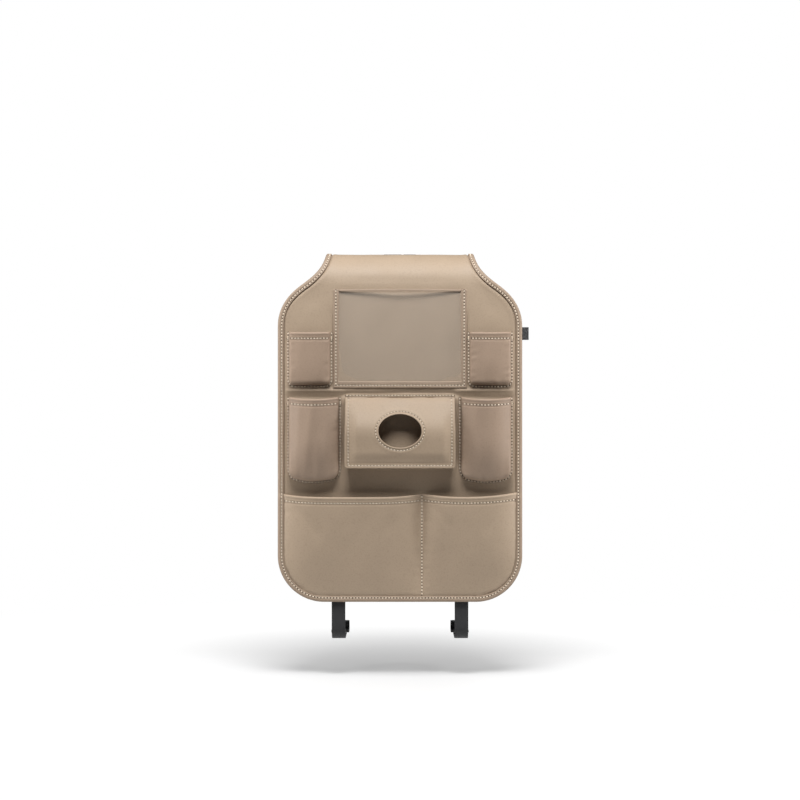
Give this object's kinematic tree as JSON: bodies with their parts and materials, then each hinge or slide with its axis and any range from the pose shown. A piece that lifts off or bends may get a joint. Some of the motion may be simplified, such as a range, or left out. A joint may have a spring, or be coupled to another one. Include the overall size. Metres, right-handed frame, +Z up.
{
  "type": "car seat organizer",
  "caption": "Leatherette organizer that hangs on the back of a car seat, with sewn pockets for bottles, wipes, a tablet and books, and straps over and under the seat.",
  "frame": {"origin": "on the back of the lining, in the middle of its width and half way up the part that rests on the seat's back", "axes": "+Z up, +Y from the organizer into the seat, so the pockets face -Y, +X to the right as the pockets are seen"},
  "size_m": [0.4929, 0.2557, 0.7738],
  "materials": {
    "leatherette": "beige grained leatherette, satin",
    "leatherette_trim": "beige leatherette cut as binding, strips and gussets, satin",
    "lining": "black felted non-slip fabric",
    "clear_vinyl": "clear soft PVC film",
    "ribbon": "black woven ribbon and closure tape",
    "webbing": "black woven webbing and elastic",
    "plastic": "black moulded acetal"
  },
  "bodies": {
    "root": {"back_panel": "leatherette", "back_lining": "lining", "edge_binding": "leatherette_trim", "bottom_pocket_front": "leatherette", "phone_pocket_front": "leatherette", "phone_pocket_gusset": "leatherette_trim", "small_pocket_front": "leatherette", "small_pocket_gusset": "leatherette_trim", "tablet_pocket_window": "clear_vinyl", "tablet_pocket_frame": "leatherette_trim", "bottle_pocket_front_left": "leatherette", "bottle_pocket_gusset_left": "leatherette_trim", "bottle_pocket_front_right": "leatherette", "bottle_pocket_gusset_right": "leatherette_trim", "wipes_pocket_lid": "leatherette", "wipes_pocket_gusset": "leatherette_trim", "wipes_hook_tape": "ribbon", "wipes_loop_tape": "ribbon", "label_tab": "ribbon", "lower_strap_left": "webbing", "lower_strap_right": "webbing", "lower_hook_left": "plastic", "lower_hook_right": "plastic", "headrest_strap_left": "webbing", "headrest_strap_right": "webbing", "buckle_socket": "plastic", "buckle_plug": "plastic"}
  },
  "joints": []
}
